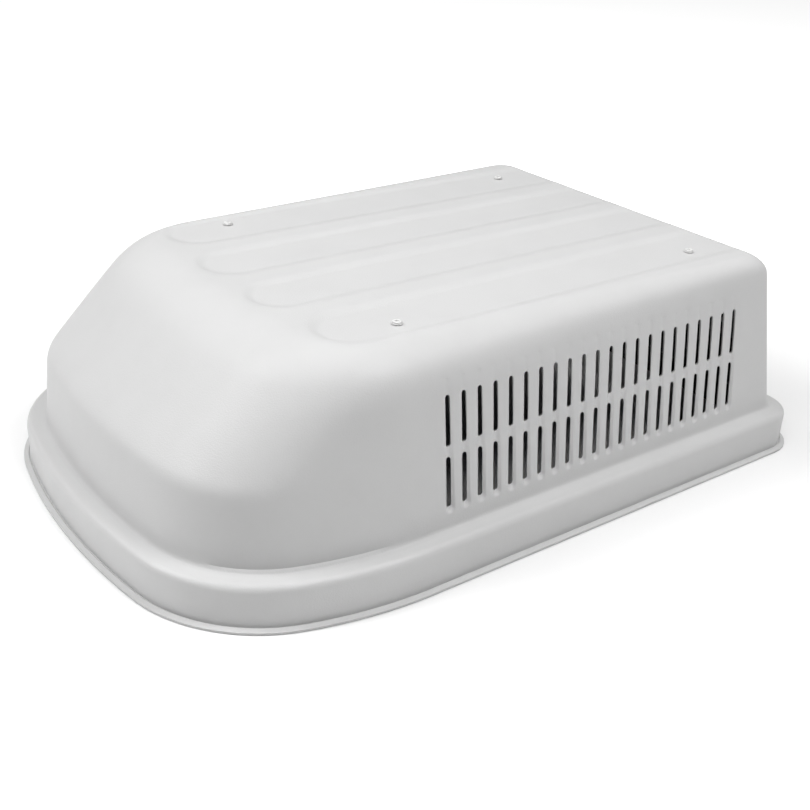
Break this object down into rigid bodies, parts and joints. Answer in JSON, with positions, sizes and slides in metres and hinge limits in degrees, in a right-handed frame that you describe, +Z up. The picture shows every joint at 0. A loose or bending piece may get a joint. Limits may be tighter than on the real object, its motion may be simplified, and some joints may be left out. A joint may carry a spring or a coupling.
{
  "type": "rooftop air conditioner cover",
  "caption": "Moulded white roof cover for a motorhome air conditioner: low shell with sloped nose, side louvres, base flange and screw fixings.",
  "frame": {"origin": "centre of the base, on the underside of the flange", "axes": "+X towards the rear opening, -X towards the sloped nose, +Z up, louvred sides at -Y and +Y"},
  "size_m": [1.0059, 0.712, 0.2852],
  "materials": {
    "shell_plastic": "thermoformed white sheet with a fine matte grain",
    "coated_steel": "white powder-coated steel",
    "washer_steel": "stamped stainless steel, coated white",
    "seal_rubber": "pale grey moulded rubber",
    "pad_rubber": "black closed-cell rubber",
    "seal_foam": "dark grey open-cell foam strip"
  },
  "bodies": {
    "cover": {"shroud_shell": "shell_plastic", "bracket_pad_front_near": "pad_rubber", "bracket_pad_front_far": "pad_rubber", "bracket_pad_rear_near": "pad_rubber", "bracket_pad_rear_far": "pad_rubber", "bulkhead_seal_near": "seal_foam", "bulkhead_seal_far": "seal_foam", "bulkhead_seal_top": "seal_foam", "rear_seal_near": "seal_foam", "rear_seal_far": "seal_foam", "rear_seal_bottom": "seal_foam", "rear_seal_top": "seal_foam"},
    "washers_front_near": {"steel_washer_front_near": "washer_steel", "sealing_washer_front_near": "seal_rubber"},
    "screw_front_near": {"screw_front_near": "coated_steel"},
    "washers_front_far": {"steel_washer_front_far": "washer_steel", "sealing_washer_front_far": "seal_rubber"},
    "screw_front_far": {"screw_front_far": "coated_steel"},
    "washers_rear_near": {"steel_washer_rear_near": "washer_steel", "sealing_washer_rear_near": "seal_rubber"},
    "screw_rear_near": {"screw_rear_near": "coated_steel"},
    "washers_rear_far": {"steel_washer_rear_far": "washer_steel", "sealing_washer_rear_far": "seal_rubber"},
    "screw_rear_far": {"screw_rear_far": "coated_steel"}
  },
  "joints": [
    {"name": "lift_front_near", "type": "slide", "parent": "cover", "child": "washers_front_near", "axis": [0, 0, 1], "range_m": [0, 0.01778]},
    {"name": "turn_front_near", "type": "hinge", "parent": "washers_front_near", "child": "screw_front_near", "pos_m": [-0.153, -0.208, 0.2844], "axis": [0, 0, 1], "range_deg": [0, 5040]},
    {"name": "lift_front_far", "type": "slide", "parent": "cover", "child": "washers_front_far", "axis": [0, 0, 1], "range_m": [0, 0.01778]},
    {"name": "turn_front_far", "type": "hinge", "parent": "washers_front_far", "child": "screw_front_far", "pos_m": [-0.153, 0.208, 0.2844], "axis": [0, 0, 1], "range_deg": [0, 5040]},
    {"name": "lift_rear_near", "type": "slide", "parent": "cover", "child": "washers_rear_near", "axis": [0, 0, 1], "range_m": [0, 0.01778]},
    {"name": "turn_rear_near", "type": "hinge", "parent": "washers_rear_near", "child": "screw_rear_near", "pos_m": [0.354, -0.208, 0.2844], "axis": [0, 0, 1], "range_deg": [0, 5040]},
    {"name": "lift_rear_far", "type": "slide", "parent": "cover", "child": "washers_rear_far", "axis": [0, 0, 1], "range_m": [0, 0.01778]},
    {"name": "turn_rear_far", "type": "hinge", "parent": "washers_rear_far", "child": "screw_rear_far", "pos_m": [0.354, 0.208, 0.2844], "axis": [0, 0, 1], "range_deg": [0, 5040]}
  ],
  "couplings": [
    {"joint": "turn_front_near", "follows": "lift_front_near", "rad_per_m": 4947.4},
    {"joint": "turn_front_far", "follows": "lift_front_far", "rad_per_m": 4947.4},
    {"joint": "turn_rear_near", "follows": "lift_rear_near", "rad_per_m": 4947.4},
    {"joint": "turn_rear_far", "follows": "lift_rear_far", "rad_per_m": 4947.4}
  ]
}
